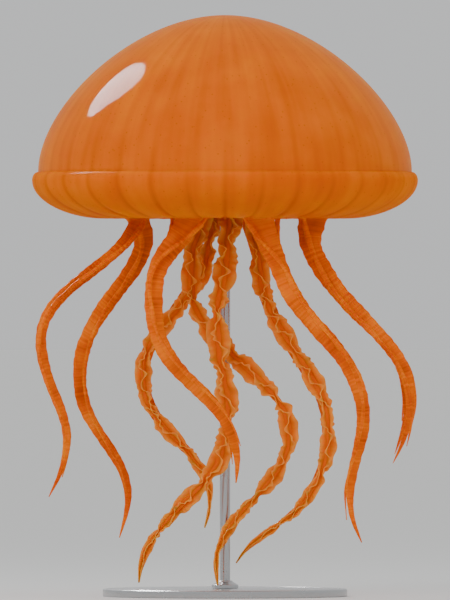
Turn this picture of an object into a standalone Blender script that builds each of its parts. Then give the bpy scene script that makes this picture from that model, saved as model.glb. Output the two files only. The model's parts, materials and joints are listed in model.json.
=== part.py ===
"""Sea nettle jellyfish on a plain display stand, life size, as solids.

The bell is a hollow dome whose scalloped margin is drawn in beneath it, as in a swimming stroke.
Twenty-four tentacles hang from the margin in eight groups of three, each below a cleft between
two lappets. The middle one of a group is a broad ribbon and the other two are thin. Four frilled
oral arms hang from the manubrium in the middle, and each of the long strands is in two lengths.
A steel rod on a round base carries the manubrium from below.

Metres, +Z up, origin on the floor under the middle of the bell. The front of the pose faces -Y.
A strand's bends are listed in millimetres: how far below the bell, how far to the right, how far back.
"""

import math

import bmesh
import bpy
from mathutils import Vector

MM = 0.001
CUT = 0.0003  # width of the thin cuts that part the body

# The bell, seen as a turned profile.
BELL_RADIUS = 0.1500  # at the lip
APEX_Z = 0.4518
NECK_DROP = 0.1220  # from the apex down to the narrow ring just above the lip
NECK_RADIUS = 0.1453
LIP_DROP = 0.1285
RIM_DROP = 0.1578  # from the apex down to the lowest ring of the margin
RIM_RADIUS = 0.0970  # of that lowest ring
MOUTH_RADIUS = 0.0625  # of the lappet tips, where the margin is drawn in
MOUTH_RISE = 0.0014  # of the lappet tips above the lowest ring
APEX_THICKNESS = 0.0220
WALL_THICKNESS = 0.0068  # of the wall at the neck
MARGIN_THICKNESS = 0.0034
CEILING_RADIUS = 0.0340  # flat patch inside the dome, where the manubrium joins
# How far each dome curve runs on level from its top, and straight up from its foot.
OUTER_HANDLES = (0.0715, 0.0505)
INNER_HANDLES = (0.0340, 0.0420)

# The margin: 32 lappets with a cleft on each side. A tentacle hangs below each of 24 clefts.
LAPPETS = 32
CLEFT_DEPTH = 0.0065
TENTACLE_RING = 0.0735  # radius at which the tentacles leave the margin

HANG_Z = 0.2950  # level that the strands' drops are counted from
MANUBRIUM_Z = 0.3450  # underside of the manubrium, where the oral arms begin

# The stand.
BASE_RADIUS = 0.0950
BASE_THICKNESS = 0.0060
ROD_RADIUS = 0.0040

THIN_SIDES = 5
THIN_RINGS = 7  # in each of a thin tentacle's two lengths
BROAD_SIDES = 6
BROAD_RINGS = 9
ARM_SIDES = 8
ARM_RINGS = 14

# Each group of three tentacles: the bearing of its middle root, in degrees round from the front
# towards the right, the middle one's half width near its root and near its tip in millimetres,
# and its bends (drop, right, back).
TENTACLE_GROUPS = {
    "left_front": (
        -67.5, 4.6, 4.4,
        [(28, -85, -36), (41, -101.5, -42), (60, -126, -49), (80, -140, -56), (97, -143, -60),
         (125, -137, -65), (155, -124.5, -63), (175, -122, -58), (196, -126, -50),
         (217, -136.5, -44)],
    ),
    "left_back": (
        -112.5, 6.9, 4.5,
        [(14, -62, 34), (37, -69, 41), (60, -86.5, 48), (81, -101.5, 56), (104, -111.5, 63),
         (123, -114, 70), (148, -110.5, 75), (169, -98.7, 76), (190, -83.3, 74), (207, -76.3, 69),
         (222, -74.8, 64), (250, -82.5, 54)],
    ),
    "centre_left_front": (
        -22.5, 7.9, 5.4,
        [(35, -50.5, -76), (68, -55.2, -84), (98, -50.3, -88), (120, -35.5, -86), (143, -10, -82),
         (160, 1.5, -77), (176, 8, -70), (190, 10, -65), (206, 8.4, -60)],
    ),
    "centre_left_back": (
        -157.5, 5.4, 4.6,
        [(35, -24, 76), (56, -26, 82), (76, -41, 87), (96, -57, 90), (118, -64.5, 91),
         (142, -61.5, 88), (165, -47.5, 82), (186, -25, 76), (209, -12.5, 70), (234, -13, 64)],
    ),
    "centre_right_front": (
        22.5, 7.8, 4.6,
        [(35, 40.5, -76), (56, 48.5, -81), (79, 64.3, -87), (102, 86, -92), (123, 99.5, -94),
         (145, 106.5, -92), (162, 107, -88), (184, 102, -79), (202, 97.5, -73),
         (217, 96, -69), (236, 98.6, -66), (252, 105.8, -64)],
    ),
    "centre_right_back": (
        157.5, 5.4, 4.6,
        [(37, 27, 76), (60, 31, 82), (89, 43.5, 88), (120, 64.5, 92), (145, 77.5, 92),
         (168, 80.5, 88), (190, 78, 82), (212, 69, 75), (231, 53.2, 70), (246, 32, 66)],
    ),
    "right_front": (
        67.5, 8.4, 3.2,
        [(18, 64, -30), (35, 72, -34), (60, 89, -41), (82, 110.5, -47), (100, 127.5, -51),
         (117, 138.5, -54), (142, 143.8, -53), (160, 142.5, -49), (176, 137.5, -44),
         (191, 130, -40)],
    ),
    "right_back": (
        112.5, 5.2, 3.4,
        [(18, 66, 32), (35, 73, 38), (60, 90, 47), (82, 112, 54), (100, 128, 60),
         (117, 137.5, 65), (142, 142.5, 69), (160, 141, 69), (176, 136, 66), (185, 132.5, 64)],
    ),
}
TENTACLE_SPACING = 360 / LAPPETS  # degrees between neighbouring clefts
BROAD_THICKNESS = 2.3  # half thickness of a broad tentacle, in millimetres
# A thin tentacle keeps in front of its broad neighbour or behind it, from near the one to far.
NEAR, FAR = 7.0, 9.0
SWAY = 0.55  # how far it sways across it, as a share of the broad one's half width
REACH = (0.93, 1.0, 0.86)  # share of the full length that each tentacle of a group reaches

# Each oral arm: its size as a share of the usual, and its bends (drop, right, back).
ARMS = {
    "front": (1.2, [(-50, 0, -15), (-30, 1, -15), (0, 4, -18), (35, 1, -24), (69, -5.4, -30),
                    (99, -5.8, -33), (128, 0, -34), (158, 2.7, -32), (178, -0.5, -29),
                    (198, -9.5, -25), (223, -32.5, -21), (246, -54.5, -16), (265, -64, -11),
                    (284, -67, -8)]),
    "back": (0.95, [(-50, -4, 15), (-30, -4, 15), (0, -8, 18), (35, -15.5, 25), (56, -23.5, 30),
                    (76, -41, 36), (96, -57, 40), (118, -64.5, 43), (142, -61.5, 43),
                    (165, -47.5, 41), (186, -25, 38), (209, -12.5, 35), (225, -11, 33),
                    (242, -16, 32)]),
    "left": (1.05, [(-50, -15, 0), (-30, -15, 0), (0, -16.5, 0), (22, -23.5, -1), (49, -27.2, -3),
                    (68, -24.3, -6), (86, -15, -10), (108, 6.5, -13), (130, 31.5, -14),
                    (153, 47.5, -14), (170, 51, -13), (187, 47.3, -12), (208, 33, -11),
                    (232, 10, -11), (253, -4.3, -12), (270, -7.2, -13), (286, -5.6, -13)]),
    "right": (1.0, [(-50, 15, 0), (-30, 15, 0), (0, 22, 2), (37, 26.4, 0), (60, 30, -2),
                    (89, 44, -5), (120, 65.5, -9), (145, 77.5, -13), (168, 81, -14),
                    (190, 78, -12), (212, 69, -8), (231, 53.2, -4), (247, 30.3, 1),
                    (259, 14, 4), (269, 8.5, 6)]),
}
# Half width and half thickness of an oral arm at shares of its length, in millimetres.
ARM_SHAPE = [(0.0, 6.5, 4.6), (0.15, 7.0, 4.2), (0.45, 7.2, 3.6), (0.7, 6.5, 3.0), (0.8, 5.4, 2.6),
             (0.88, 4.0, 2.0), (0.95, 2.3, 1.4), (1.0, 0.7, 0.6)]
FRILL = 2.0 * MM  # how far the edges of an arm swing to and fro
# A tentacle's size at shares of its length, as a share of its full size.
TENTACLE_TAPER = [(0.0, 1.25), (0.12, 1.04), (0.6, 0.94), (0.8, 0.74), (0.92, 0.45), (1.0, 0.12)]
THIN_RADIUS = [(0.0, 2.2), (0.5, 1.8), (0.85, 1.3), (1.0, 0.5)]  # in millimetres


def material(name, colour, roughness, metallic=0.0):
    made = bpy.data.materials.new(name)
    made.use_nodes = True
    shader = made.node_tree.nodes["Principled BSDF"]
    shader.inputs["Base Color"].default_value = (*colour, 1.0)
    shader.inputs["Roughness"].default_value = roughness
    shader.inputs["Metallic"].default_value = metallic
    return made


def add_node(name, bm, finish):
    """Makes the finished bmesh an object of its own, with its faces pointing out."""
    bmesh.ops.recalc_face_normals(bm, faces=bm.faces)
    mesh = bpy.data.meshes.new(name)
    bm.to_mesh(mesh)
    bm.free()
    mesh.materials.append(finish)
    mesh.shade_smooth()
    mesh.set_sharp_from_angle(angle=math.radians(50))
    made = bpy.data.objects.new(name, mesh)
    bpy.context.scene.collection.objects.link(made)
    return made


def skin_between(bm, lower, upper):
    """Quads between two rings of the same number of vertices."""
    for i, corner in enumerate(lower):
        j = (i + 1) % len(lower)
        bm.faces.new((corner, lower[j], upper[j], upper[i]))


def loft(rings, start=None, end=None):
    """A closed solid through rings of points. start and end are points that close it like a pole."""
    bm = bmesh.new()
    made = [[bm.verts.new(p) for p in ring] for ring in rings]
    for lower, upper in zip(made, made[1:]):
        skin_between(bm, lower, upper)
    for ring, pole in ((made[0], start), (made[-1], end)):
        if pole is None:
            bm.faces.new(ring)
            continue
        tip = bm.verts.new(pole)
        for i, corner in enumerate(ring):
            bm.faces.new((corner, ring[(i + 1) % len(ring)], tip))
    return bm


def read_table(table, share):
    """Values at a share of the length, from rows of (share, value, ...), by straight lines."""
    for low, high in zip(table, table[1:]):
        if share <= high[0]:
            t = (share - low[0]) / (high[0] - low[0])
            return [a + (b - a) * t for a, b in zip(low[1:], high[1:])]
    return list(table[-1][1:])


def route_point(bends, drop):
    """Point at a drop on the smooth curve through the bends, in metres."""
    last = len(bends) - 1
    k = max(i for i in range(last) if i == 0 or bends[i][0] <= drop)
    (d0, *low), (d1, *high) = bends[k], bends[k + 1]
    span = d1 - d0
    t = (drop - d0) / span

    def slope(i, axis):
        before, after = bends[max(i - 1, 0)], bends[min(i + 1, last)]
        return (after[axis] - before[axis]) / (after[0] - before[0])

    sideways = [
        a * (1 + 2 * t) * (1 - t) ** 2
        + b * t * t * (3 - 2 * t)
        + slope(k, axis) * span * t * (1 - t) ** 2
        - slope(k + 1, axis) * span * t * t * (1 - t)
        for axis, a, b in zip((1, 2), low, high)
    ]
    return Vector((sideways[0] * MM, sideways[1] * MM, HANG_Z - drop * MM))


def route_frame(bends, drop):
    """Point, direction across the strand and direction through it, at a drop."""
    step = 0.5
    start, end = bends[0][0], bends[-1][0]
    before = route_point(bends, max(drop - step, start))
    after = route_point(bends, min(drop + step, end))
    along = (after - before).normalized()
    across = along.cross(Vector((0, 1, 0))).normalized()
    return route_point(bends, drop), across, across.cross(along).normalized()


def strand_length(name, bends, first, last, count, section, finish):
    """One length of a strand, between two drops. section(drop) gives its outline, across and through."""
    gap = CUT / MM / 2
    start, end = bends[0][0], bends[-1][0]
    low = first if first == start else first + gap
    high = last if last == end else last - gap
    rings = []
    for i in range(count):
        drop = low + (high - low) * i / (count - 1)
        centre, across, through = route_frame(bends, drop)
        if drop == start:  # the root is cut square, to meet what it hangs from
            across, through = Vector((1, 0, 0)), Vector((0, 1, 0))
        rings.append([centre + across * u + through * v for u, v in section(drop)])
    tip = None
    if last == end:
        tip = route_point(bends, end) - Vector((0, 0, 0.8 * MM))
    return add_node(name, loft(rings, end=tip), finish)


def oval(half_width, half_thickness, sides):
    turns = [2 * math.pi * i / sides for i in range(sides)]
    return [(half_width * math.cos(a), half_thickness * math.sin(a)) for a in turns]


def broad_section(bends, root_width, tip_width):
    start, end = bends[0][0], bends[-1][0]

    def section(drop):
        share = (drop - start) / (end - start)
        size = read_table(TENTACLE_TAPER, share)[0] * MM
        width = root_width + (tip_width - root_width) * share
        return oval(width * size, BROAD_THICKNESS * size, BROAD_SIDES)

    return section


def thin_section(bends):
    start, end = bends[0][0], bends[-1][0]

    def section(drop):
        radius = read_table(THIN_RADIUS, (drop - start) / (end - start))[0] * MM
        return oval(radius, radius, THIN_SIDES)

    return section


def arm_section(bends, size, wave):
    """Lens-shaped outline whose two thin edges swing to and fro, as a frill does."""
    start, end = bends[0][0], bends[-1][0]

    def section(drop):
        share = (drop - start) / (end - start)
        width, thickness = (size * v * MM for v in read_table(ARM_SHAPE, share))
        swing = min(FRILL, width / 2) * math.sin(math.pi * min(1, 6 * share))
        turns = [2 * math.pi * i / ARM_SIDES for i in range(ARM_SIDES)]
        outline = []
        for a in turns:
            edge = abs(math.cos(a)) ** 3
            ruffle = math.sin(2 * math.pi * (drop - start) / wave + (math.pi / 2) * math.cos(a))
            outline.append(
                (
                    width * math.cos(a) * (1 + 0.10 * edge * ruffle),
                    thickness * math.sin(a) + swing * edge * ruffle,
                )
            )
        return outline

    return section


def root_place(bearing):
    angle = math.radians(bearing)
    return (TENTACLE_RING / MM * math.sin(angle), -TENTACLE_RING / MM * math.cos(angle))


def tentacle_bends(group, member):
    """The bends of one tentacle of a group, from its own cleft in the margin."""
    bearing, half_width, _, bends = TENTACLE_GROUPS[group]
    root = root_place(bearing + (member - 1) * TENTACLE_SPACING)
    own = [(1.3, *root), (7, 0.985 * root[0], 0.985 * root[1])]
    if member == 1:
        return own + bends
    side = math.copysign(1, root[1] - root_place(bearing)[1])
    full = bends[-1][0]
    for drop, right, back in bends:
        share = drop / full
        sway = SWAY * half_width * math.sin(math.radians(3 * bearing) + side + 5 * share)
        own.append((drop, right + sway, back + side * (NEAR + FAR * share)))
    # It ends on the same course above the full length, with no bend left beyond its tip.
    reach = REACH[member] * full
    tip = route_point(own, reach)
    return [bend for bend in own if bend[0] < reach - 8] + [(reach, tip.x / MM, tip.y / MM)]


def dome_curve(height, radius, handles, steps):
    """(radius, height) down a dome, level at its top and upright at its foot, without the top."""
    level, upright = handles
    points = []
    for i in range(1, steps + 1):
        t = i / steps
        away, near, foot = 3 * (1 - t) ** 2 * t, 3 * (1 - t) * t**2, t**3
        points.append(
            (
                away * level + (near + foot) * radius,
                ((1 - t) ** 3 + away) * height + near * upright,
            )
        )
    return points


def bell_outside():
    """Profile of the outside, apex to margin: (radius, height, how far along the margin)."""
    neck_z, lip_z, rim_z = (APEX_Z - drop for drop in (NECK_DROP, LIP_DROP, RIM_DROP))
    profile = [
        (r, neck_z + z, 0.0) for r, z in dome_curve(NECK_DROP, NECK_RADIUS, OUTER_HANDLES, 9)
    ]
    profile.append((BELL_RADIUS - 0.0004, lip_z + 0.0024, 0.0))
    curl = 5
    for i in range(curl + 1):
        angle = math.pi / 2 * i / curl
        profile.append(
            (
                RIM_RADIUS + (BELL_RADIUS - RIM_RADIUS) * math.cos(angle) ** 1.12,
                lip_z - (lip_z - rim_z) * math.sin(angle),
                0.0,
            )
        )
    profile.append((0.5 * (RIM_RADIUS + MOUTH_RADIUS), rim_z + 0.2 * MOUTH_RISE, 0.5))
    profile.append((MOUTH_RADIUS, rim_z + MOUTH_RISE, 1.0))
    return profile


def bell_inside():
    """Profile of the hollow, margin back up to the ceiling."""
    neck_z, lip_z, rim_z = (APEX_Z - drop for drop in (NECK_DROP, LIP_DROP, RIM_DROP))
    wall = NECK_RADIUS - WALL_THICKNESS
    rise = NECK_DROP - APEX_THICKNESS
    curve = dome_curve(rise, wall - CEILING_RADIUS, INNER_HANDLES, 6)
    profile = [
        (MOUTH_RADIUS + 0.0004, rim_z + MOUTH_RISE + MARGIN_THICKNESS, 1.0),
        (RIM_RADIUS, rim_z + MARGIN_THICKNESS + 0.0012, 0.0),
        (wall - 0.0030, lip_z - 0.0100, 0.0),
    ]
    profile += [(CEILING_RADIUS + r, neck_z + z, 0.0) for r, z in reversed(curve)]
    profile.append((CEILING_RADIUS, neck_z + rise, 0.0))
    return profile


def lappet_ring(radius, height, margin):
    """One ring of the bell, cut back at the clefts as it nears the edge of the margin."""
    count = 2 * LAPPETS
    ring = []
    for i in range(count):
        angle = 2 * math.pi * i / count
        out = radius + (CLEFT_DEPTH * margin**3 if i % 2 == 0 else 0.0)
        ring.append(Vector((out * math.sin(angle), -out * math.cos(angle), height)))
    return ring


def make_bell(finish):
    rings = [lappet_ring(*point) for point in bell_outside() + bell_inside()]
    ceiling = APEX_Z - APEX_THICKNESS
    add_node("bell", loft(rings, Vector((0, 0, APEX_Z)), Vector((0, 0, ceiling))), finish)


def make_manubrium(finish):
    """Four-lobed stalk under the ceiling, each lobe over one oral arm."""
    count = 24
    top = APEX_Z - APEX_THICKNESS - CUT
    rings = []
    for share, size in ((0, 0.0225), (0.06, 0.0235), (0.3, 0.0215), (0.6, 0.0210), (0.85, 0.0240),
                        (1, 0.0300)):
        ring = []
        for i in range(count):
            angle = 2 * math.pi * i / count
            lobe = 1 + (0.12 - 0.09 * share) * math.cos(4 * angle)
            ring.append(
                Vector(
                    (
                        size * lobe * math.cos(angle),
                        size * lobe * math.sin(angle),
                        MANUBRIUM_Z + (top - MANUBRIUM_Z) * share,
                    )
                )
            )
        rings.append(ring)
    add_node("manubrium", loft(rings), finish)


def make_arm(side, size, bends, finish):
    start, end = bends[0][0], bends[-1][0]
    lowered = [(start + CUT / MM, *bends[0][1:])] + bends[1:]
    middle = start + 0.48 * (end - start)
    wave = 4 * (middle - start) / (ARM_RINGS - 1)
    section = arm_section(lowered, size, wave)
    name = f"oral_arm_{side}"
    strand_length(f"{name}_upper", lowered, lowered[0][0], middle, ARM_RINGS, section, finish)
    strand_length(f"{name}_lower", lowered, middle, end, ARM_RINGS, section, finish)


def make_tentacle(group, member, finish):
    bends = tentacle_bends(group, member)
    start, end = bends[0][0], bends[-1][0]
    middle = start + 0.45 * (end - start)
    if member == 1:
        _, root_width, tip_width, _ = TENTACLE_GROUPS[group]
        section, rings = broad_section(bends, root_width, tip_width), BROAD_RINGS
    else:
        section, rings = thin_section(bends), THIN_RINGS
    name = f"tentacle_{group}_{member + 1}"
    strand_length(f"{name}_upper", bends, start, middle, rings, section, finish)
    strand_length(f"{name}_lower", bends, middle, end, rings, section, finish)


def turned(name, profile, count, finish):
    """A solid turned about the Z axis from (radius, height) points, bottom to top."""
    rings = [
        [
            Vector((r * math.cos(2 * math.pi * i / count), r * math.sin(2 * math.pi * i / count), z))
            for i in range(count)
        ]
        for r, z in profile
    ]
    return add_node(name, loft(rings), finish)


def make_stand(finish):
    edge = 0.0012
    turned(
        "stand_base",
        [
            (BASE_RADIUS - edge, 0),
            (BASE_RADIUS, edge),
            (BASE_RADIUS, BASE_THICKNESS - edge),
            (BASE_RADIUS - edge, BASE_THICKNESS),
        ],
        40,
        finish,
    )
    foot = BASE_THICKNESS + CUT
    top = MANUBRIUM_Z - CUT
    turned(
        "stand_rod",
        [
            (2.6 * ROD_RADIUS, foot),
            (2.6 * ROD_RADIUS, foot + 0.003),
            (ROD_RADIUS, foot + 0.006),
            (ROD_RADIUS, top - 0.001),
            (ROD_RADIUS - 0.001, top),
        ],
        16,
        finish,
    )


def main():
    for old in list(bpy.data.objects):
        bpy.data.objects.remove(old)
    jelly = material("bell_jelly", (0.95, 0.20, 0.010), 0.25)
    frill = material("oral_arm_frill", (0.98, 0.28, 0.030), 0.35)
    string = material("tentacle_skin", (0.85, 0.13, 0.008), 0.30)
    steel = material("brushed_steel", (0.55, 0.56, 0.57), 0.30, metallic=1.0)
    make_bell(jelly)
    make_manubrium(jelly)
    for side, (size, bends) in ARMS.items():
        make_arm(side, size, bends, frill)
    for group in TENTACLE_GROUPS:
        for member in range(3):
            make_tentacle(group, member, string)
    make_stand(steel)


main()
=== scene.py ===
# %% [markdown]
# # Sea nettle jellyfish, a life-size display model
#
# This notebook dresses a plain imported model of a sea nettle: a bell 300 mm across, four frilled
# oral arms, twenty-four tentacles and a display stand. The imported solids set every place and size.
# The animal's flesh becomes one continuous skin, the thin curtains of the oral arms are made as
# pieces of their own along the arms' ribs, and the stand gets turned parts with real edges.

# %% Load the frame
import json
import math

import bmesh
import bpy
import numpy as np
from mathutils import Matrix, Vector

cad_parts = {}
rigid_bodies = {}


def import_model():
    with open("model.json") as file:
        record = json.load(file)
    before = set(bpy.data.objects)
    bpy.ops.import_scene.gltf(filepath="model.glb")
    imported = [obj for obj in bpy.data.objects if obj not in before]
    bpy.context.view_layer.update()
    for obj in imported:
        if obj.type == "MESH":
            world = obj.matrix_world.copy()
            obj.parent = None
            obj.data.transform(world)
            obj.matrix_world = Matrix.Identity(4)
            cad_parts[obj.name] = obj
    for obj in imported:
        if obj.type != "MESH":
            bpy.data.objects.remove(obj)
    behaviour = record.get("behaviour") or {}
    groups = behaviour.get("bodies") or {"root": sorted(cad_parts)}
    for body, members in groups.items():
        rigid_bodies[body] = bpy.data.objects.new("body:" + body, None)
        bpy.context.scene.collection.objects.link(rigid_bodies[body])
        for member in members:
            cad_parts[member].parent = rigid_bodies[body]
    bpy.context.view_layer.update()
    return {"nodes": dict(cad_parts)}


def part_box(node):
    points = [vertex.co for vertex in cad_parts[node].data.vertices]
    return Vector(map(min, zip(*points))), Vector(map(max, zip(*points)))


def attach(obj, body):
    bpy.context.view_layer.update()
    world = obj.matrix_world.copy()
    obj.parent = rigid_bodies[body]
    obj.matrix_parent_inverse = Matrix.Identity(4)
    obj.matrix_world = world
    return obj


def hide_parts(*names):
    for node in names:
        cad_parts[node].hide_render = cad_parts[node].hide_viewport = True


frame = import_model()
MM = 0.001

# %% [markdown]
# ## Materials
#
# Colours are written as the hex values a painter would pick on a screen, so they are turned to
# linear light once, here. One helper adds a shader node with its settings and its links.

# %% Helpers for materials


def hex_colour(code):
    channels = [int(code[i : i + 2], 16) / 255 for i in (0, 2, 4)]
    linear = [c / 12.92 if c <= 0.04045 else ((c + 0.055) / 1.055) ** 2.4 for c in channels]
    return (*linear, 1.0)


def add_node(tree, kind, settings=None, links=None, stops=()):
    """Adds a node with its properties, input values, links into it, and any ramp stops."""
    node = tree.nodes.new(kind)
    for key, value in (settings or {}).items():
        if isinstance(key, str) and hasattr(node, key):
            setattr(node, key, value)
        else:
            node.inputs[key].default_value = value
    for key, socket in (links or {}).items():
        tree.links.new(socket, node.inputs[key])
    for i, (place, code) in enumerate(stops):
        element = node.color_ramp.elements[i] if i < 2 else node.color_ramp.elements.new(place)
        element.position = place
        element.color = hex_colour(code)
    return node


def new_material(name):
    material = bpy.data.materials.new(name)
    material.use_nodes = True
    return material, material.node_tree, material.node_tree.nodes["Principled BSDF"]


# %% [markdown]
# The bell of a sea nettle is a firm, clear jelly under a skin that carries the orange pigment.
# Light goes in, scatters and comes out warm, so the shader is mostly subsurface scattering, with a
# thin film of water on it. The pigment sits in soft streaks that run down from the crown and in
# small round freckles, and it is deepest in a line up from each cleft of the margin. A painted
# map would have to be wrapped round the bell, so the pattern is built from noise instead, which
# has no seam anywhere.

# %% Streaks of pigment on the bell
STREAKS_PER_RADIAN = 15
STREAK_TURNS = 9.0  # per metre of height, so that a streak runs on for about a tenth of a metre
CLOUD_SIZE = 40 * MM


def add_streaks(tree, place):
    """The colour of the pigment where it is neither freckled nor deepened."""
    # The direction away from the bell's axis is the same all the way down a streak.
    flat = add_node(
        tree, "ShaderNodeVectorMath", {"operation": "MULTIPLY", 1: (1.0, 1.0, 0.0)}, {0: place}
    )
    away = add_node(tree, "ShaderNodeVectorMath", {"operation": "NORMALIZE"}, {0: flat.outputs[0]})
    spread = add_node(
        tree,
        "ShaderNodeVectorMath",
        {"operation": "SCALE", "Scale": STREAKS_PER_RADIAN},
        {0: away.outputs[0]},
    )
    drawn_out = add_node(
        tree,
        "ShaderNodeVectorMath",
        {"operation": "MULTIPLY_ADD", 1: (0.0, 0.0, STREAK_TURNS)},
        {0: place, 2: spread.outputs[0]},
    )
    streaks = add_node(
        tree,
        "ShaderNodeTexNoise",
        {"Scale": 1.0, "Detail": 3.0, "Roughness": 0.42},
        {"Vector": drawn_out.outputs[0]},
    )
    cloud = add_node(
        tree, "ShaderNodeTexNoise", {"Scale": 1 / CLOUD_SIZE, "Detail": 3.0}, {"Vector": place}
    )
    streak_colour = add_node(
        tree,
        "ShaderNodeValToRGB",
        links={"Fac": streaks.outputs["Fac"]},
        stops=[(0.30, "D05600"), (0.50, "DF6500"), (0.72, "E97200")],
    )
    cloud_colour = add_node(
        tree,
        "ShaderNodeValToRGB",
        links={"Fac": cloud.outputs["Fac"]},
        stops=[(0.32, "D45C00"), (0.52, "E26A00"), (0.72, "F07C02")],
    )
    return add_node(
        tree,
        "ShaderNodeMix",
        {"data_type": "RGBA", 0: 0.5},
        {6: streak_colour.outputs["Color"], 7: cloud_colour.outputs["Color"]},
    ).outputs[2]


# %% Freckles and the darker margin
FRECKLE_SPACING = 5.0 * MM


def add_freckles(tree, place, colour):
    freckles = add_node(
        tree, "ShaderNodeTexVoronoi", {"Scale": 1 / FRECKLE_SPACING}, {"Vector": place}
    )
    amount = add_node(
        tree,
        "ShaderNodeValToRGB",
        links={"Fac": freckles.outputs["Distance"]},
        stops=[(0.08, "A0A0A0"), (0.15, "000000")],
    )
    return add_node(
        tree,
        "ShaderNodeMix",
        {"data_type": "RGBA", 7: hex_colour("8E3000")},
        {0: amount.outputs["Color"], 6: colour},
    ).outputs[2]


def deepen_margin(tree, colour):
    """Deepens the colour by a value that is kept on the skin."""
    tint = add_node(tree, "ShaderNodeAttribute", {"attribute_name": "margin_tint"})
    return add_node(
        tree,
        "ShaderNodeMix",
        {"data_type": "RGBA", 7: hex_colour("B03E00")},
        {0: tint.outputs["Fac"], 6: colour},
    ).outputs[2]


# %% Stinging warts
WART_SPACING = 2.0 * MM
WART_HEIGHT = 0.15 * MM  # at full strength, of which about a third is used


def add_warts(tree, place):
    warts = add_node(
        tree,
        "ShaderNodeTexVoronoi",
        {"feature": "SMOOTH_F1", "Scale": 1 / WART_SPACING, "Smoothness": 0.6},
        {"Vector": place},
    )
    height = add_node(
        tree,
        "ShaderNodeValToRGB",
        links={"Fac": warts.outputs["Distance"]},
        stops=[(0.0, "FFFFFF"), (0.42, "000000")],
    )
    return add_node(
        tree,
        "ShaderNodeBump",
        {"Strength": 0.35, "Distance": WART_HEIGHT},
        {"Height": height.outputs["Color"]},
    ).outputs[0]


# %% Wet orange jelly of the bell


def make_bell_jelly():
    material, tree, shader = new_material("wet orange jelly")
    place = add_node(tree, "ShaderNodeTexCoord").outputs["Object"]
    colour = add_freckles(tree, place, add_streaks(tree, place))
    tree.links.new(deepen_margin(tree, colour), shader.inputs["Base Color"])
    tree.links.new(add_warts(tree, place), shader.inputs["Normal"])
    # How much water lies on the skin differs from place to place, so the skin keeps that too.
    film = add_node(tree, "ShaderNodeAttribute", {"attribute_name": "water_film"})
    tree.links.new(film.outputs["Fac"], shader.inputs["Coat Weight"])
    settings = {
        "IOR": 1.36,
        "Roughness": 0.38,
        "Specular IOR Level": 0.0,  # the skin itself is dull, and only the water on it shines
        "Subsurface Weight": 0.85,
        "Subsurface Radius": (1.0, 0.32, 0.08),
        "Subsurface Scale": 12 * MM,
        "Coat Roughness": 0.06,
        "Coat IOR": 1.36,
    }
    for name, value in settings.items():
        shader.inputs[name].default_value = value
    return material


bell_jelly = make_bell_jelly()
print("made", bell_jelly.name)

# %% [markdown]
# The tentacles are denser than the bell and carry more pigment, in rings where the stinging cells
# crowd together. The oral arms are the palest flesh of the animal, thin and soft: deep orange along
# the rib and paler towards the free edge of each curtain, where only a film is left.

# %% Skin of the tentacles
RING_SPACING = 2.2 * MM
TENTACLE_CLOUD = 25 * MM
FLESH_BUMP = 0.2 * MM


def set_wet_flesh(shader, roughness, scatter):
    """What all strands share: a scattering inside under a thin film of water."""
    settings = {
        "IOR": 1.36,
        "Roughness": roughness,
        "Specular IOR Level": 0.0,
        "Subsurface Weight": 0.8,
        "Subsurface Radius": (1.0, 0.35, 0.1),
        "Subsurface Scale": scatter,
        "Coat Weight": 0.18,
        "Coat Roughness": 0.12,
        "Coat IOR": 1.36,
    }
    for name, value in settings.items():
        shader.inputs[name].default_value = value


def make_tentacle_skin():
    material, tree, shader = new_material("banded tentacle skin")
    place = add_node(tree, "ShaderNodeTexCoord").outputs["Object"]
    # The rings follow the strand, so they are read from its own length, kept in its UV map.
    strand = add_node(tree, "ShaderNodeUVMap", {"uv_map": "strand"})
    metres = add_node(tree, "ShaderNodeSeparateXYZ", links={"Vector": strand.outputs["UV"]})
    rings = add_node(
        tree,
        "ShaderNodeTexNoise",
        {"noise_dimensions": "1D", "Scale": 1 / RING_SPACING, "Detail": 2.0, "Roughness": 0.5},
        {"W": metres.outputs["Y"]},
    )
    cloud = add_node(
        tree, "ShaderNodeTexNoise", {"Scale": 1 / TENTACLE_CLOUD, "Detail": 3.0}, {"Vector": place}
    )
    mixed = add_node(
        tree,
        "ShaderNodeMix",
        {"data_type": "FLOAT", 0: 0.68},
        {2: rings.outputs["Fac"], 3: cloud.outputs["Fac"]},
    )
    colour = add_node(
        tree,
        "ShaderNodeValToRGB",
        links={"Fac": mixed.outputs[0]},
        stops=[(0.34, "C04A00"), (0.50, "DE6300"), (0.64, "F07C00")],
    )
    tree.links.new(colour.outputs["Color"], shader.inputs["Base Color"])
    bump = add_node(
        tree,
        "ShaderNodeBump",
        {"Strength": 0.2, "Distance": FLESH_BUMP},
        {"Height": rings.outputs["Fac"]},
    )
    tree.links.new(bump.outputs[0], shader.inputs["Normal"])
    set_wet_flesh(shader, 0.36, 4 * MM)
    return material


# %% Membrane of the oral arms
ARM_CLOUDS_PER_METRE = 90.0


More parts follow.
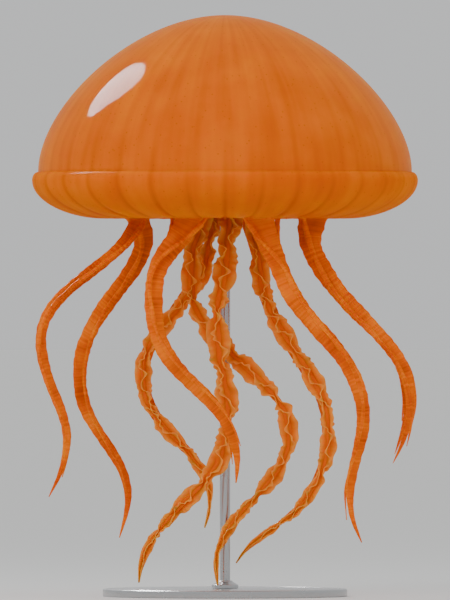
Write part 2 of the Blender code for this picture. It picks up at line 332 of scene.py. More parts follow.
def make_arm_flesh():
    material, tree, shader = new_material("oral arm membrane")
    place = add_node(tree, "ShaderNodeTexCoord").outputs["Object"]
    # 0 at the rib and 1 at the free edge, kept on each curtain.
    reach = add_node(tree, "ShaderNodeAttribute", {"attribute_name": "free_edge"})
    cloud = add_node(
        tree,
        "ShaderNodeTexNoise",
        {"Scale": ARM_CLOUDS_PER_METRE, "Detail": 4.0},
        {"Vector": place},
    )
    mixed = add_node(
        tree,
        "ShaderNodeMath",
        {"operation": "MULTIPLY_ADD", 1: 0.35},
        {0: cloud.outputs["Fac"], 2: reach.outputs["Fac"]},
    )
    colour = add_node(
        tree,
        "ShaderNodeValToRGB",
        links={"Fac": mixed.outputs[0]},
        stops=[(0.12, "D85C00"), (0.45, "EE7410"), (0.85, "FA8C30"), (1.0, "FA9038")],
    )
    tree.links.new(colour.outputs["Color"], shader.inputs["Base Color"])
    bump = add_node(
        tree,
        "ShaderNodeBump",
        {"Strength": 0.25, "Distance": FLESH_BUMP},
        {"Height": cloud.outputs["Fac"]},
    )
    tree.links.new(bump.outputs[0], shader.inputs["Normal"])
    set_wet_flesh(shader, 0.42, 5 * MM)
    return material


tentacle_skin = make_tentacle_skin()
arm_flesh = make_arm_flesh()
print("made", tentacle_skin.name, "and", arm_flesh.name)

# %% [markdown]
# ## The course of each strand
#
# Every oral arm and tentacle hangs from above to below without ever turning up again. So a level
# cut through its solids, at any height, gives one small outline: its middle is a point of the
# strand's course, and its width there is the strand's own. Cutting at many heights reads the whole
# course out of the frame, and a little smoothing takes the facets away.

# %% Cut the solids at a level


def node_triangles(names):
    parts = []
    for name in names:
        mesh = frame["nodes"][name].data
        mesh.calc_loop_triangles()
        points = np.array([v.co for v in mesh.vertices])
        corners = np.array([t.vertices[:] for t in mesh.loop_triangles])
        parts.append(points[corners])
    return np.concatenate(parts)


def level_cut(faces, height):
    """Points where the edges of the triangles cross a level."""
    starts, ends = faces, np.roll(faces, -1, axis=1)
    above = starts[:, :, 2] > height
    crossing = above != (ends[:, :, 2] > height)
    a, b = starts[crossing], ends[crossing]
    share = (height - a[:, 2]) / (b[:, 2] - a[:, 2])
    return a + (b - a) * share[:, None]


# %% Read a strand's course and size
SLICE = 2.5 * MM  # between one cut and the next
SMOOTH_RUNS = 10
CLEAR_OF_TOP, CLEAR_OF_TIP = 0.2 * MM, 0.6 * MM


def smooth_rows(rows, runs):
    """Evens out a table row by row, with its first and last rows held."""
    rows = rows.copy()
    for _ in range(runs):
        rows[1:-1] = 0.25 * rows[:-2] + 0.5 * rows[1:-1] + 0.25 * rows[2:]
    return rows


def strand_course(names):
    """Rows of x, y, z, half width and half thickness, from the root down to the tip."""
    faces = node_triangles(names)
    top, bottom = faces[:, :, 2].max(), faces[:, :, 2].min()
    count = int((top - bottom) / SLICE)
    rows = []
    for height in np.linspace(top - CLEAR_OF_TOP, bottom + CLEAR_OF_TIP, count):
        cut = level_cut(faces, height)
        if len(cut) < 3:
            continue
        low, high = cut.min(0), cut.max(0)
        rows.append([*((low + high) / 2)[:2], height, *((high - low) / 2)[:2]])
    rows = smooth_rows(np.array(rows), SMOOTH_RUNS)
    # A level cut through a slanting strand is too wide, by the slant of its course.
    slope = np.gradient(rows[:, :3], axis=0)
    for axis in (0, 1):
        run = np.hypot(slope[:, axis], slope[:, 2])
        rows[:, 3 + axis] *= np.abs(slope[:, 2]) / run
    return rows


# %% Read every strand
arm_courses = {
    side: strand_course([f"oral_arm_{side}_upper", f"oral_arm_{side}_lower"])
    for side in ("front", "back", "left", "right")
}
tentacle_names = sorted(
    name[: -len("_upper")]
    for name in frame["nodes"]
    if name.startswith("tentacle") and name.endswith("_upper")
)
tentacle_courses = {
    name: strand_course([f"{name}_upper", f"{name}_lower"]) for name in tentacle_names
}
print(len(arm_courses), "oral arms and", len(tentacle_courses), "tentacles")
print("front arm is", round(float(arm_courses["front"][:, 3].max()) * 2000, 1), "mm wide at most")

# %% [markdown]
# ## The bell
#
# The bell is a body of revolution, like a bowl on a lathe, so its profile is drawn as a chain of
# points and spun round the middle. The profile runs from the crown down the outside, round the lip
# and the drawn-in margin, back up the hollow inside, and down the stalk in the middle that carries
# the oral arms. Blender's operators work on whatever is selected, and the loaded solids start out
# selected, so the selection is always cleared first.

# %% Profile of the bell
bell_low, bell_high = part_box("bell")
stalk_low, stalk_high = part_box("manubrium")
APEX_Z = bell_high.z
LIP_RADIUS = bell_high.x
RIM_Z = bell_low.z  # of the lowest ring of the margin
NECK_Z = APEX_Z - 122.0 * MM  # of the ring just above the lip
LIP_Z = APEX_Z - 128.5 * MM  # of the widest ring
NECK_RADIUS = LIP_RADIUS - 4.7 * MM
RIM_RADIUS = 97.0 * MM
MOUTH_RADIUS = 62.5 * MM
MOUTH_RISE = 1.4 * MM  # from the lowest ring in to the mouth
EDGE = 1.7 * MM  # half the thickness of the margin
DOME_TOP, DOME_FOOT = 71.5 * MM, 50.5 * MM  # how far it runs on level, and upright
DOME_STEPS = 68  # close enough for a gloss with a smooth edge
LAPPETS = 32
SEGMENTS = 8 * LAPPETS


def dome_curve(foot_z, height, radius, level, upright, steps):
    """Points down a dome, level at its top and upright at its foot."""
    points = []
    for t in np.linspace(0, 1, steps + 1):
        away, near, foot = 3 * (1 - t) ** 2 * t, 3 * (1 - t) * t**2, t**3
        r = away * level + (near + foot) * radius
        z = ((1 - t) ** 3 + away) * height + near * upright
        points.append((r, foot_z + z))
    return points


def outer_profile():
    points = dome_curve(NECK_Z, APEX_Z - NECK_Z, NECK_RADIUS, DOME_TOP, DOME_FOOT, DOME_STEPS)
    for t in np.linspace(0.1, 1, 9):  # the bead of the lip
        angle = math.pi / 2 * t
        r = NECK_RADIUS + (LIP_RADIUS - NECK_RADIUS) * math.sin(angle)
        points.append((r, NECK_Z + (LIP_Z - NECK_Z) * (1 - math.cos(angle))))
    for t in np.linspace(0.06, 1, 18):  # the margin, curling in
        angle = math.pi / 2 * t
        r = RIM_RADIUS + (LIP_RADIUS - RIM_RADIUS) * math.cos(angle) ** 1.12
        points.append((r, LIP_Z - (LIP_Z - RIM_Z) * math.sin(angle)))
    for t in np.linspace(0.1, 1, 10):  # and on to the mouth
        r = RIM_RADIUS + (MOUTH_RADIUS - RIM_RADIUS) * t
        points.append((r, RIM_Z + MOUTH_RISE * t**1.5))
    return points


# %% The hollow inside
CEILING_Z = stalk_high.z
CEILING_RADIUS = 34.0 * MM
HOLLOW_RADIUS = 138.5 * MM  # inside the wall, at the height of the neck
HOLLOW_TOP, HOLLOW_FOOT = 34.0 * MM, 42.0 * MM
INSIDE_RADIUS = 135.5 * MM  # inside the lip
INSIDE_Z = LIP_Z - 10 * MM
INSIDE_STEP = 1.2 * MM  # from the margin up to where the wall starts


def inner_profile():
    points = []
    edge_z = RIM_Z + MOUTH_RISE + EDGE
    for angle in np.radians(np.linspace(-60, 60, 5)):  # round the edge of the lappets
        points.append((MOUTH_RADIUS - EDGE * math.cos(angle), edge_z + EDGE * math.sin(angle)))
    floor = RIM_Z + 2 * EDGE
    for t in np.linspace(0, 1, 8):  # back out over the margin
        r = MOUTH_RADIUS + (RIM_RADIUS - MOUTH_RADIUS) * t
        points.append((r, floor + MOUTH_RISE * (1 - 0.1 * t)))
    start = floor + INSIDE_STEP
    for t in np.linspace(0.12, 1, 8):  # up inside the lip
        angle = math.pi / 2 * t
        r = RIM_RADIUS + (INSIDE_RADIUS - RIM_RADIUS) * math.sin(angle)
        points.append((r, start + (INSIDE_Z - start) * (1 - math.cos(angle))))
    hollow = dome_curve(
        NECK_Z, CEILING_Z - NECK_Z, HOLLOW_RADIUS - CEILING_RADIUS, HOLLOW_TOP, HOLLOW_FOOT, 24
    )
    points += [(CEILING_RADIUS + r, z) for r, z in reversed(hollow)]
    return points


# %% The stalk in the middle
STALK_RADIUS = 21.5 * MM
STALK_FLARE = 0.8 * MM  # by which it is wider at its lower end
STALK_CORNER = 14 * MM  # height of the rounded corner under the ceiling
STALK_END = stalk_low.z + 0.4 * MM
STALK_ROUND = 1.6 * MM  # at the edge of its closed end


def stalk_profile():
    """From the ceiling down the stalk to its closed lower end."""
    points = []
    for t in np.linspace(0.15, 1, 6):
        angle = math.pi / 2 * t
        r = CEILING_RADIUS - (CEILING_RADIUS - STALK_RADIUS) * math.sin(angle)
        points.append((r, CEILING_Z - STALK_CORNER * (1 - math.cos(angle))))
    top, bottom = CEILING_Z - STALK_CORNER, STALK_END + STALK_ROUND
    for t in np.linspace(0.1, 1, 10):
        points.append((STALK_RADIUS + STALK_FLARE * t, top + (bottom - top) * t))
    points += [(STALK_RADIUS * share, STALK_END) for share in (0.93, 0.75, 0.45, 0)]
    return points


profile = outer_profile() + inner_profile() + stalk_profile()
print(len(profile), "points round the profile of the bell")

# %% Spin the profile


def select_none():
    bpy.ops.object.select_all(action="DESELECT")


def triangles(obj):
    return sum(len(face.vertices) - 2 for face in obj.data.polygons)


def spin_profile(name, points, steps):
    """Turns a chain of (radius, height) points about Z into a closed skin."""
    select_none()
    bpy.ops.mesh.primitive_plane_add(size=0.01, location=(0, 0, 0))
    obj = bpy.context.object
    obj.name = name
    obj.data.name = name
    bpy.ops.object.mode_set(mode="EDIT")
    bpy.ops.mesh.select_all(action="SELECT")
    bpy.ops.mesh.merge(type="CENTER")
    bpy.ops.transform.translate(value=(points[0][0], 0, points[0][1]))
    for (r0, z0), (r1, z1) in zip(points, points[1:]):
        bpy.ops.mesh.extrude_vertices_move(TRANSFORM_OT_translate={"value": (r1 - r0, 0, z1 - z0)})
    bpy.ops.mesh.select_all(action="SELECT")
    bpy.ops.mesh.spin(steps=steps, angle=2 * math.pi, center=(0, 0, 0), axis=(0, 0, 1))
    bpy.ops.mesh.select_all(action="SELECT")
    bpy.ops.mesh.remove_doubles(threshold=0.00002)
    bpy.ops.mesh.normals_make_consistent(inside=False)
    bpy.ops.object.mode_set(mode="OBJECT")
    return obj


skin = spin_profile("jelly_skin", profile, SEGMENTS)
print("spun", triangles(skin), "triangles")

# %% [markdown]
# The margin ends in 32 round flaps, the lappets, with a cleft between neighbours where a tentacle
# or a sense organ sits. The spun skin is even all round, so its points near the margin are moved
# by a rule: the clefts are cut back, a groove runs up from each one to the lip, and each flap
# bulges a little between its grooves.

# %% Helpers that read and move the points of a mesh


def read_points(mesh):
    """Where all the points are, and which way the surface faces there."""
    places, facing = np.zeros(len(mesh.vertices) * 3), np.zeros(len(mesh.vertices) * 3)
    mesh.vertices.foreach_get("co", places)
    mesh.vertex_normals.foreach_get("vector", facing)
    return places.reshape(-1, 3), facing.reshape(-1, 3)


def move_points(mesh, places):
    mesh.vertices.foreach_set("co", places.ravel())
    mesh.update()


def bell_places(places):
    """Radius, bearing, and the place across a lappet: 0 at its middle, -1 and 1 at its clefts."""
    radius = np.hypot(places[:, 0], places[:, 1])
    bearing = np.arctan2(places[:, 0], -places[:, 1])
    across = 2 * ((bearing * LAPPETS / (2 * math.pi)) % 1.0) - 1
    return radius, bearing, across


# %% Shape the lappets
CLEFT = 6.5 * MM
GROOVE = 1.3 * MM
GROOVE_WIDTH = 0.17  # of half a lappet
BULGE = 0.4  # of a flap between its grooves, as a share of their depth
FREE_WIDTH = 25.5 * MM  # how far the lappets are parted


def shape_lappets(obj):
    places, facing_way = read_points(obj.data)
    radius, bearing, across = bell_places(places)
    flap = np.sqrt(np.clip(1 - across**2, 0, 1))
    parted = np.clip((MOUTH_RADIUS + FREE_WIDTH - radius) / FREE_WIDTH, 0, 1) ** 3
    margin = (places[:, 2] < RIM_Z + 8 * MM) & (radius > 50 * MM)
    outward = np.where(margin, CLEFT * parted * (1 - flap), 0.0)
    # The outside of the margin runs from the lip down and in to the edge of the lappets.
    below_lip = places[:, 2] < LIP_Z + 1 * MM
    outside = below_lip & (facing_way[:, 2] < 0.15) & (radius > 60 * MM)
    outside &= (places[:, 2] < RIM_Z + 3 * MM) | (radius > 120 * MM)
    way = np.clip((LIP_RADIUS - radius) / (LIP_RADIUS - MOUTH_RADIUS), 0, 1)
    depth = GROOVE * (0.3 + 0.7 * way) * np.clip(way * 8, 0, 1)
    groove = depth * np.exp(-(((1 - np.abs(across)) / GROOVE_WIDTH) ** 2))
    lift = np.where(outside, BULGE * depth * flap - groove, 0.0)
    places += facing_way * lift[:, None]
    places[:, 0] += outward * np.sin(bearing)
    places[:, 1] -= outward * np.cos(bearing)
    move_points(obj.data, places)


shape_lappets(skin)
print("shaped", LAPPETS, "lappets")

# %% [markdown]
# ## The strands
#
# A strand could be a curve with a bevel, but a curve turns its section as it likes, and a sea
# nettle's tentacle is a ribbon whose flat side matters. So each strand starts as a cylinder that is
# cut across many times, and then every ring of it is set down on the strand's course, square to
# it, as wide and as thick as the course says there.

# %% Courses in even steps


def resample(course, count):
    """The same course in evenly spaced rows, and how far along it each row lies."""
    steps = np.linalg.norm(np.diff(course[:, :3], axis=0), axis=1)
    along = np.concatenate([[0], np.cumsum(steps)])
    even = np.linspace(0, along[-1], count)
    return np.stack([np.interp(even, along, column) for column in course.T], axis=1), even


def course_frames(points):
    """Direction along, across and through a course at each of its points."""
    along = np.gradient(points, axis=0)
    along /= np.linalg.norm(along, axis=1)[:, None]
    across = np.cross(along, (0.0, 1.0, 0.0))
    across /= np.linalg.norm(across, axis=1)[:, None]
    through = np.cross(across, along)
    return along, across, through


def sunk(course, depth):
    """The course with its root led straight up into the flesh that it grows from."""
    root = course[0].copy()
    root[2] += depth
    return np.vstack([root, course])


# %% Set a tube down on a course


def cut_cylinder(name, sides, rings):
    """A cylinder along Z, one unit long, whose side is cut into rings."""
    select_none()
    bpy.ops.mesh.primitive_cylinder_add(vertices=sides, radius=1, depth=1, end_fill_type="NGON")
    obj = bpy.context.object
    obj.name = name
    bpy.ops.object.mode_set(mode="EDIT")
    bpy.ops.mesh.select_all(action="DESELECT")
    mesh = bmesh.from_edit_mesh(obj.data)
    for edge in mesh.edges:
        edge.select_set(abs(edge.verts[0].co.z - edge.verts[1].co.z) > 0.5)
    bmesh.update_edit_mesh(obj.data)
    bpy.ops.mesh.subdivide(number_cuts=rings - 2)
    bpy.ops.object.mode_set(mode="OBJECT")
    return obj


def keep_length(mesh, values):
    """Stores a length for each point in a UV map, which a Boolean carries over as a whole."""
    layer = mesh.uv_layers.new(name="strand")
    points = np.zeros(len(mesh.loops), dtype=np.int32)
    mesh.loops.foreach_get("vertex_index", points)
    pairs = np.stack([np.zeros(len(points)), values[points]], axis=1)
    layer.data.foreach_set("uv", pairs.ravel().astype(np.float32))


def tube_on(name, course, sides, rings, section):
    """section(metres, angle, width, thickness) says how far across and through a point lies."""
    rows, metres = resample(course, rings)
    _, across, through = course_frames(rows[:, :3])
    across[0], through[0] = (1, 0, 0), (0, 1, 0)
    obj = cut_cylinder(name, sides, rings)
    places, _ = read_points(obj.data)
    ring = np.rint((0.5 - places[:, 2]) * (rings - 1)).astype(int)
    angle = np.arctan2(places[:, 1], places[:, 0])
    u, v = section(metres[ring], angle, rows[ring, 3], rows[ring, 4])
    places = rows[ring, :3] + across[ring] * u[:, None] + through[ring] * v[:, None]
    move_points(obj.data, places)
    keep_length(obj.data, metres[ring])
    return obj


# %% [markdown]
# A broad tentacle is a ribbon that turns to and fro about its own course, thicker along its middle
# than at its edges, which swell and narrow where the stinging cells lie in bands. A thin one is a
# narrower ribbon that goes on turning the same way. Each spreads a little where it leaves the
# margin, as flesh does. An oral arm has a firm rib down its middle, and its curtains come later.

# %% How every strand starts at its root
ROOT_DEPTH = 2.4 * MM
ARM_ROOT_DEPTH = 5 * MM
SPREAD = 0.32
SPREAD_LENGTH = 9 * MM


def root_spread(metres):
    """Widens a strand where it leaves the margin."""
    return 1 + SPREAD * np.exp(-metres / SPREAD_LENGTH)


def settled(metres, length):
    """0 at the root and 1 from a length on."""
    return np.clip(metres / length, 0, 1)


def turned_by(u, v, turn):
    return u * np.cos(turn) - v * np.sin(turn), u * np.sin(turn) + v * np.cos(turn)


# %% Section of a broad tentacle
BEAD_SPACING = 8.5 * MM
BEAD_SWELL = 0.045  # of the width
BEAD_START = 20 * MM
CRIMP = 0.07  # of the width
CRIMP_START = 30 * MM
TURN_SPACING = 85 * MM
TURN = math.radians(22)


def broad_section(phase):
    def section(metres, angle, width, thickness):
        beat = 2 * math.pi * metres / BEAD_SPACING
        edge = np.sin(beat + phase + 0.9 * np.cos(angle) + np.sin(beat / 3.7))
        beads = 1 + BEAD_SWELL * edge * settled(metres, BEAD_START)
        u = width * beads * root_spread(metres) * np.cos(angle)
        # Its middle is thicker than its edges.
        full = 0.80 + 0.30 * np.sin(angle) ** 2
        v = thickness * root_spread(metres) * np.sin(angle) * full
        # The edges are crimped to and fro, as a ribbon's are when it is drawn up.
        crimp = CRIMP * width * np.cos(angle) ** 3 * np.sin(0.7 * beat + phase)
        turn = TURN * np.sin(2 * math.pi * metres / TURN_SPACING + phase)
        start = settled(metres, CRIMP_START)
        return turned_by(u, v + crimp * start, turn * start)

    return section


# %% Sections of a thin tentacle and of an arm's rib
THIN_WIDE, THIN_FLAT = 1.12, 0.80  # of its own mean half width
THIN_SWELL = 0.06
RIB_WIDE, RIB_THICK = 0.34, 0.60  # of the arm's own size


def thin_section(phase):
    def section(metres, angle, width, thickness):
        size = 0.5 * (width + thickness) * root_spread(metres)
        beads = 1 + THIN_SWELL * np.sin(2 * math.pi * metres / (0.8 * BEAD_SPACING) + phase)
        turn = phase + 2 * math.pi * metres / (0.7 * TURN_SPACING)
        u = THIN_WIDE * size * beads * np.cos(angle)
        return turned_by(u, THIN_FLAT * size * np.sin(angle), turn)

    return section


def rib_section(metres, angle, width, thickness):
    return RIB_WIDE * width * np.cos(angle), RIB_THICK * thickness * np.sin(angle)


# %% Make all the tubes
BROAD_SIDES, BROAD_RINGS = 16, 150
THIN_SIDES, THIN_RINGS = 9, 130
RIB_SIDES, RIB_RINGS = 12, 90


def make_strands():
    tubes = []
    for i, (name, course) in enumerate(tentacle_courses.items()):
        rooted = sunk(course, ROOT_DEPTH)
        if name.endswith("_2"):
            shape = BROAD_SIDES, BROAD_RINGS, broad_section(1.7 * i)
        else:
            shape = THIN_SIDES, THIN_RINGS, thin_section(2.3 * i)
        tubes.append(tube_on(f"{name}_tube", rooted, *shape))
    for side, course in arm_courses.items():
        rooted = sunk(course, ARM_ROOT_DEPTH)
        tubes.append(tube_on(f"rib_{side}", rooted, RIB_SIDES, RIB_RINGS, rib_section))
    return tubes


tubes = make_strands()
print(len(tubes), "tubes,", sum(triangles(tube) for tube in tubes), "triangles")

# %% [markdown]
# ## One skin
#
# In the living animal the tentacles are outgrowths of the bell and the oral arms grow out of its
# stalk, so nothing may look stuck on. The tubes are joined into one object, a Boolean union grows
# them together with the bell, and the creases that it leaves at the roots are smoothed away.

# %% Helpers for selecting and applying


def select_only(*objs):
    select_none()
    for obj in objs:
        obj.select_set(True)
    bpy.context.view_layer.objects.active = objs[0]


def apply_modifiers(obj):
    select_only(obj)
    for modifier in list(obj.modifiers):
        bpy.ops.object.modifier_apply(modifier=modifier.name)


# %% Grow the strands together with the bell


def grow_together(body, parts):
    body.data.materials.append(bell_jelly)
    for part in parts:
        part.data.materials.clear()
        part.data.materials.append(arm_flesh if part.name.startswith("rib") else tentacle_skin)
    select_only(*parts)
    bpy.ops.object.join()
    strands = bpy.context.object
    union = body.modifiers.new("grow together", "BOOLEAN")
    union.operation = "UNION"
    union.solver = "EXACT"
    union.use_self = True  # neighbouring roots may run into one another
    union.object = strands
    union.material_mode = "TRANSFER"
    apply_modifiers(body)
    bpy.data.objects.remove(strands)


grow_together(skin, tubes)
print("the grown skin has", triangles(skin), "triangles")

# %% Ease the creases at the roots
ROOTS, ROOTS_END = 60 * MM, 90 * MM  # the radii between which the tentacles leave the margin
NEAR_RIM, NEAR_STALK = 6 * MM, 8 * MM  # how far up and down the creases lie


def smooth_joints(body, low, high, least, most):
    """Eases the creases where two materials meet, between two heights and two radii."""
    select_only(body)
    bpy.ops.object.mode_set(mode="EDIT")
    bpy.ops.mesh.select_mode(type="VERT")
    bpy.ops.mesh.select_all(action="DESELECT")
    mesh = bmesh.from_edit_mesh(body.data)
    for vert in mesh.verts:
        near = low < vert.co.z < high and least < math.hypot(vert.co.x, vert.co.y) < most
        vert.select_set(near and len({face.material_index for face in vert.link_faces}) > 1)
    bmesh.update_edit_mesh(body.data)
    for _ in range(3):
        bpy.ops.mesh.select_more()
    bpy.ops.mesh.vertices_smooth(factor=0.5, repeat=6)
    bpy.ops.mesh.select_all(action="DESELECT")
    bpy.ops.object.mode_set(mode="OBJECT")


smooth_joints(skin, RIM_Z - NEAR_RIM, RIM_Z + NEAR_RIM, ROOTS, ROOTS_END)
smooth_joints(skin, stalk_low.z - NEAR_STALK, stalk_low.z + NEAR_STALK, 0, 30 * MM)
print("eased the creases at the roots")

# %% [markdown]
# Two things differ over the bell: the pigment deepens towards the margin, and the film of water is
# full on the dome and thin on the crinkled lip. They could be painted on, but both follow from a
# point's height and bearing, so they are worked out for each point and kept on the skin. The ring
# where the dome meets its lip is a real fold, so its edges are marked sharp.

# %% Values that the bell's material reads from the skin
TINT_TOP = 405 * MM  # height from which the pigment deepens
TINT_LINE = 0.15  # width of the line up from a cleft, as a share of half a lappet
DOME_FILM = 0.2
LIP_FILM = 0.04


def keep_value(mesh, name, values):
    """Stores one number for each point, for a material to read."""
    if name not in mesh.attributes:
        mesh.attributes.new(name, "FLOAT", "POINT")
    mesh.attributes[name].data.foreach_set("value", np.asarray(values, dtype=np.float32))


def tint_margin(obj):
    """Deepens the pigment downwards, and most in a line up from each cleft."""
    places, _ = read_points(obj.data)
    _, _, across = bell_places(places)
    low = np.clip((TINT_TOP - places[:, 2]) / (TINT_TOP - RIM_Z), 0, 1)
    line = np.exp(-(((1 - np.abs(across)) / TINT_LINE) ** 2))
    keep_value(obj.data, "margin_tint", low**1.5 * (0.2 + 0.5 * line * low))


def wet_dome(obj):
    """Water lies as a smooth film on the dome, and runs off the crinkled lip below the fold."""
    places, _ = read_points(obj.data)
    on_dome = places[:, 2] > NECK_Z - 0.01 * MM
    keep_value(obj.data, "water_film", np.where(on_dome, DOME_FILM, LIP_FILM))


# %% Finish the skin


def fold_neck(obj):
    """Marks the ring where the dome meets its lip, so that it shades as a crisp fold."""
    select_only(obj)
    bpy.ops.object.mode_set(mode="EDIT")
    bpy.ops.mesh.select_mode(type="EDGE")
    bpy.ops.mesh.select_all(action="DESELECT")
    mesh = bmesh.from_edit_mesh(obj.data)
    for edge in mesh.edges:
        level = all(abs(vert.co.z - NECK_Z) < 0.01 * MM for vert in edge.verts)
        outside = all(math.hypot(*vert.co.xy) > NECK_RADIUS - 1 * MM for vert in edge.verts)
        edge.select_set(level and outside)
    bmesh.update_edit_mesh(obj.data)
    bpy.ops.mesh.mark_sharp()
    bpy.ops.mesh.select_mode(type="VERT")
    bpy.ops.object.mode_set(mode="OBJECT")


tint_margin(skin)
wet_dome(skin)
skin.data.shade_smooth()
fold_neck(skin)
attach(skin, "root")
flesh_nodes = [name for name in frame["nodes"] if not name.startswith("stand")]
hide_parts(*flesh_nodes)
print("it stands in for", len(flesh_nodes), "solids")

# %% [markdown]
# A sea nettle has eight sense organs, each a short club that leans inwards in a cleft of the
# margin. One is modelled, from a sphere drawn out into a club and bent, and seven copies of it
# stand round the bell.

# %% What every separate piece is given


def finish_piece(obj, material):
    """Gives a finished piece its material and its place on the model."""
    obj.data.materials.clear()
    obj.data.materials.append(material)
    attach(obj, "root")
    print(obj.name, triangles(obj), "triangles")


# %% Sense organs
ORGAN_COUNT = 8
ORGAN_RADIUS = 1.1 * MM
ORGAN_REACH = MOUTH_RADIUS + CLEFT - 0.4 * MM
ORGAN_LEAN = 1.2 * MM  # of its foot, towards the mouth
ORGAN_TOP, ORGAN_SWELL = 0.75, 0.45  # of the sphere: its width above, and its gain downwards
ORGAN_STRETCH = 1.5
ORGAN_Z = RIM_Z + 0.9 * MM


def make_sense_organ():
    """The organ at the very front of the margin, wider at its foot and bent towards the mouth."""
    select_none()
    bpy.ops.mesh.primitive_uv_sphere_add(segments=20, ring_count=14, radius=ORGAN_RADIUS)
    obj = bpy.context.object
    places, _ = read_points(obj.data)
    drop = (ORGAN_RADIUS - places[:, 2]) / (2 * ORGAN_RADIUS)  # 0 at its top, 1 at its foot
    places[:, :2] *= (ORGAN_TOP + ORGAN_SWELL * drop)[:, None]
    places[:, 2] *= ORGAN_STRETCH
    places[:, 1] -= ORGAN_REACH - ORGAN_LEAN * drop**2
    places[:, 2] += ORGAN_Z
    move_points(obj.data, places)
    return obj


def copy_turned(original, angle):
    """A copy with a mesh of its own, turned about the middle of the bell."""
    select_only(original)
    bpy.ops.object.duplicate(linked=False)
    obj = bpy.context.object
    obj.rotation_euler.z = angle
    return obj


organ = make_sense_organ()
copies = [copy_turned(organ, 2 * math.pi * i / ORGAN_COUNT) for i in range(1, ORGAN_COUNT)]
select_only(organ, *copies)
bpy.ops.object.join()
bpy.ops.object.transform_apply(location=True, rotation=True, scale=True)
organ.name = "sense_organs"
organ.data.shade_smooth()
finish_piece(organ, arm_flesh)

# %% [markdown]
# ## Curtains of the oral arms
#
# An oral arm is a rib with four thin curtains that wind round it. A curtain's free edge is much
# longer than its rib, so it can't lie flat and throws itself into folds, large ones with small
# ones on them, like the edge of a lettuce leaf. Each one starts as a grid, is laid out from the
# rib, and is folded more and more towards its free edge, before a modifier gives it a thickness.

# %% Folds of a curtain
CURTAIN_COLUMNS = 9
CURTAIN_ROWS = 521
MEMBRANE = 0.6 * MM
REACH_START, REACH = 0.12, 0.96  # of the arm's half width, at the rib and from there out
LARGE_FOLD, LARGE_SWING = 21 * MM, 0.52
SMALL_FOLD, SMALL_SWING = 6.8 * MM, 0.16
STRETCH = 0.05
FADE_IN, FADE_OUT = 15 * MM, 50 * MM  # where the folds start below the root and die away
ARM_TURN = 190 * MM  # of arm to one whole turn of its curtains
# The angle round the rib at which each curtain starts, and how far its folds are set off
CURTAINS = ((0, 0.0), (180, 2.1), (80, 4.0), (260, 5.2))


def folds(s, spacing, phase, unevenness):
    """A wave along the arm whose length wanders, so that no two folds are alike."""
    wander = np.sin(2 * math.pi * s / (4.3 * spacing) + 1.7 * phase)
    return np.sin(2 * math.pi * s / spacing + phase + unevenness * wander)


# %% Make one curtain


def make_curtain(name, course, start, phase):
    rows, metres = resample(course, CURTAIN_ROWS)
    _, across, through = course_frames(rows[:, :3])
    select_none()
    bpy.ops.mesh.primitive_grid_add(
        x_subdivisions=CURTAIN_COLUMNS, y_subdivisions=CURTAIN_ROWS - 1, size=1
    )
    obj = bpy.context.object
    obj.name = name
    places, _ = read_points(obj.data)
    out = places[:, 0] + 0.5  # 0 at the rib, 1 at the free edge
    ring = np.rint((0.5 - places[:, 1]) * (CURTAIN_ROWS - 1)).astype(int)
    s, width, thickness = metres[ring], rows[ring, 3], rows[ring, 4]
    turn = math.radians(start) + 2 * math.pi * s / ARM_TURN
    # The curtains fill the arm's own oval, whichever way they point.
    reach = width * thickness / np.hypot(thickness * np.cos(turn), width * np.sin(turn))
    fade = settled(s, FADE_IN) * settled(metres[-1] - s, FADE_OUT) ** 0.6
    large = LARGE_SWING * folds(s, LARGE_FOLD, phase, 1.4) * out**1.2
    small = SMALL_SWING * folds(s, SMALL_FOLD, 2 * phase, 1.7) * out**2.2
    swing = fade * width * (large + small)
    stretch = 1 + STRETCH * fade * folds(s, 0.6 * LARGE_FOLD, phase, 1.0) * out
    u, v = turned_by(reach * (REACH_START + REACH * out) * stretch, swing, turn)
    places = rows[ring, :3] + across[ring] * u[:, None] + through[ring] * v[:, None]
    move_points(obj.data, places)
    keep_value(obj.data, "free_edge", out**1.5)
    solid = obj.modifiers.new("thickness", "SOLIDIFY")
    solid.thickness = MEMBRANE
    solid.offset = 0
    apply_modifiers(obj)
    return obj


# %% Make the curtains of every arm


def make_arm_curtains(number, side, course):
    made = [
        make_curtain(f"curtain_{side}_{i}", course, start, phase + 1.9 * number)
        for i, (start, phase) in enumerate(CURTAINS)
    ]
    select_only(*made)
    bpy.ops.object.join()
    obj = bpy.context.object
    obj.name = f"oral_arm_curtains_{side}"
    obj.data.name = obj.name
    obj.data.shade_smooth()
    finish_piece(obj, arm_flesh)
    return obj


curtains = [
    make_arm_curtains(number, side, course)
    for number, (side, course) in enumerate(arm_courses.items())
]
print(len(curtains), "arms have their curtains")

# %% [markdown]
# ## The stand
#
# Museums carry such a model on a thin rod that goes up inside it, on a base heavy enough not to
# tip. Both are turned stainless steel, so both are lathe work: a disc and a rod with their edges
# broken, and a collar that clamps the rod. The lathe tool leaves fine rings, which give the steel
# a satin shine.

# %% Turned steel
GROOVES_PER_METRE = 2400.0
SMUDGES_PER_METRE = 30.0
GROOVE_DEPTH = 0.05 * MM  # at full strength


